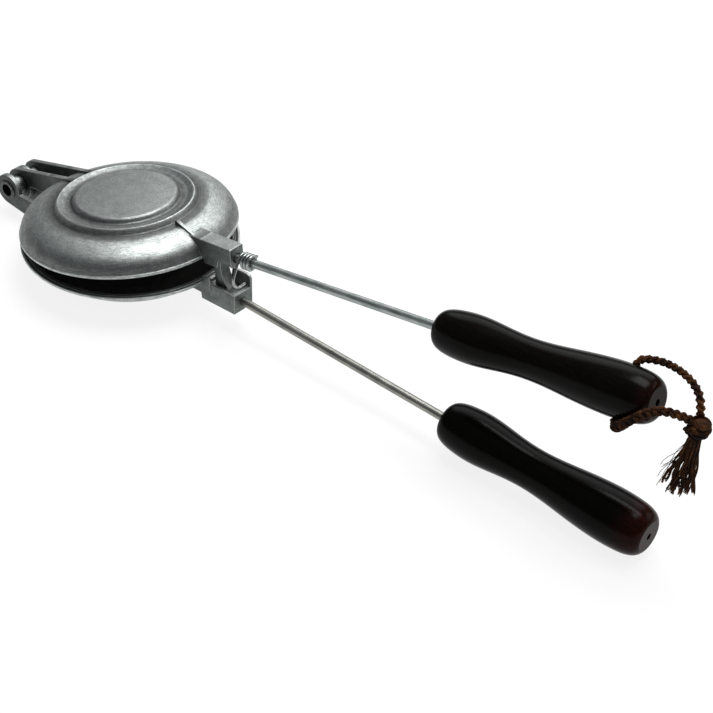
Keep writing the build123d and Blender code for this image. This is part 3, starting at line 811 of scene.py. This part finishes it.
# Handles: turned hardwood under a nearly black brown lacquer, dipped and left to shine.
# The lacquer is thinner at the free ends, where the red-brown of the stained wood comes through.
# The grain is drawn coarser than real wood pores, so that it shows.
lacquered_wood, tree, shader = new_material("lacquered_wood")
place = add_node(tree, "ShaderNodeTexCoord").outputs["Object"]
grain_length = 22.0 * mm
grain_width = 1.1 * mm
run_size = 8.0 * mm
thinning_start = 20.0 * mm
thinning_end = 2.0 * mm
grain_place = add_node(
    tree,
    "ShaderNodeMapping",
    {"Vector": place, "Scale": (1 / grain_length, 1 / grain_width, 1 / grain_width)},
).outputs[0]
wood_grain = add_node(
    tree, "ShaderNodeTexNoise", {"Vector": grain_place, "Scale": 1.0, "Detail": 4.0, "Distortion": 0.4}
).outputs["Fac"]
dark_wood, red_wood = (
    add_node(
        tree, "ShaderNodeValToRGB", {"Fac": wood_grain}, stops=[(0.35, darker), (0.65, lighter)]
    ).outputs["Color"]
    for darker, lighter in (("#050403", "#0A0806"), ("#140705", "#2A0F09"))
)
handle_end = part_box("lower_handle")[1].x
along_handle = add_node(tree, "ShaderNodeSeparateXYZ", {"Vector": place}).outputs["X"]
thin_lacquer = add_node(
    tree,
    "ShaderNodeMapRange",
    {"Value": along_handle, "From Min": handle_end - thinning_start, "From Max": handle_end - thinning_end},
    interpolation_type="SMOOTHSTEP",
).outputs[0]
wood_colour = add_node(
    tree, "ShaderNodeMix", {"Factor": thin_lacquer, 6: dark_wood, 7: red_wood}, data_type="RGBA"
).outputs[2]
tree.links.new(wood_colour, shader.inputs["Base Color"])
shader.inputs["Roughness"].default_value = 0.5
shader.inputs["Specular IOR Level"].default_value = 0.0
shader.inputs["Coat Weight"].default_value = 1.0
shader.inputs["Coat IOR"].default_value = 1.14
shader.inputs["Coat Roughness"].default_value = 0.22
runs = add_node(tree, "ShaderNodeTexNoise", {"Vector": place, "Scale": 1 / run_size, "Detail": 1.0})
lacquer_runs = add_node(
    tree, "ShaderNodeBump", {"Height": runs.outputs["Fac"], "Strength": 0.12, "Distance": 0.2 * mm}
).outputs[0]
tree.links.new(lacquer_runs, shader.inputs["Coat Normal"])
pores = add_node(
    tree, "ShaderNodeBump", {"Height": wood_grain, "Strength": 0.3, "Distance": 0.08 * mm}
).outputs[0]
tree.links.new(pores, shader.inputs["Normal"])
for node in ("lower_handle", "upper_handle"):
    refinish(node, lacquered_wood)

# Floor: one sheet of matt white paper, so wide that its end isn't seen from low down.
# It shows nearly white to the eye and in the metal, faintly cloudy, and keeps the iron's shadow.
floor_half = 20.0
paper_cloud = 25.0 * mm
paper_whiteness = 0.85
matt_paper, tree, shader = new_material("matt_paper")
place = add_node(tree, "ShaderNodeTexCoord").outputs["Object"]
pulp = add_node(tree, "ShaderNodeTexNoise", {"Vector": place, "Scale": 1 / paper_cloud}).outputs["Fac"]
paper_colour = add_node(
    tree, "ShaderNodeValToRGB", {"Fac": pulp}, stops=[(0.3, "#F6F6F5"), (0.7, "#FAFAF9")]
)
tree.links.new(paper_colour.outputs["Color"], shader.inputs["Base Color"])
shader.inputs["Roughness"].default_value = 0.9
shader.inputs["Specular IOR Level"].default_value = 0.1
seen = add_node(tree, "ShaderNodeLightPath").outputs
seen_at_all = seen["Is Camera Ray"]
for way_seen in ("Is Glossy Ray", "Is Transmission Ray"):
    seen_at_all = add_node(
        tree, "ShaderNodeMath", {0: seen_at_all, 1: seen[way_seen]}, operation="MAXIMUM"
    ).outputs[0]
whiteness = add_node(tree, "ShaderNodeMath", {0: seen_at_all, 1: paper_whiteness}, operation="MULTIPLY")
glow = add_node(tree, "ShaderNodeEmission", {"Color": linear("#FFFFFF"), "Strength": 1.0})
lit_paper = add_node(
    tree, "ShaderNodeMixShader", {0: whiteness.outputs[0], 1: shader.outputs[0], 2: glow.outputs[0]}
)
tree.links.new(lit_paper.outputs[0], tree.nodes["Material Output"].inputs["Surface"])
floor_mesh = bpy.data.meshes.new("floor")
floor_corners = [(x * floor_half, y * floor_half, 0.0) for x, y in ((-1, -1), (1, -1), (1, 1), (-1, 1))]
floor_mesh.from_pydata(floor_corners, [], [(0, 1, 2, 3)])
floor_mesh.materials.append(matt_paper)
floor = bpy.data.objects.new("floor", floor_mesh)
bpy.context.scene.collection.objects.link(floor)

# Studio light: a softbox overhead, two large dim panels at the back, and a room of grey walls.
# The lamps are wide for their distance, so the bright bands in the metal and the shadows are soft.
middle = Vector((0.0, 0.0, 0.03))
for name, way, distance, width, height, watts in (
    ("softbox", Vector((0.02, 0.18, 0.97)), 1.5, 1.1, 0.8, 24.0),
    ("panel", Vector((-0.15, 0.44, 0.41)), 0.62, 0.8, 0.35, 1.7),
    ("fill", Vector((0.62, 0.66, 0.42)), 1.7, 1.0, 0.8, 4.0),
):
    lamp_data = bpy.data.lights.new(name, "AREA")
    lamp_data.shape = "RECTANGLE"
    lamp_data.size = width
    lamp_data.size_y = height
    lamp_data.energy = watts
    lamp = bpy.data.objects.new(name, lamp_data)
    lamp.location = middle + way.normalized() * distance
    lamp.rotation_mode = "QUATERNION"
    lamp.rotation_quaternion = way.to_track_quat("Z", "Y")
    bpy.context.scene.collection.objects.link(lamp)
world = bpy.data.worlds.new("studio")
world.use_nodes = True
bpy.context.scene.world = world
tree = world.node_tree
window = add_node(tree, "ShaderNodeTexCoord").outputs["Generated"]
skyward = add_node(tree, "ShaderNodeSeparateXYZ", {"Vector": window}).outputs["Z"]
wall_stops = [(0.0, "#505254"), (0.5, "#787A7C"), (1.0, "#949698")]
room_colour = add_node(tree, "ShaderNodeValToRGB", {"Fac": skyward}, stops=wall_stops).outputs["Color"]
background = tree.nodes["Background"]
tree.links.new(room_colour, background.inputs["Color"])
background.inputs["Strength"].default_value = 1.0

bpy.context.scene.view_settings.view_transform = "Standard"
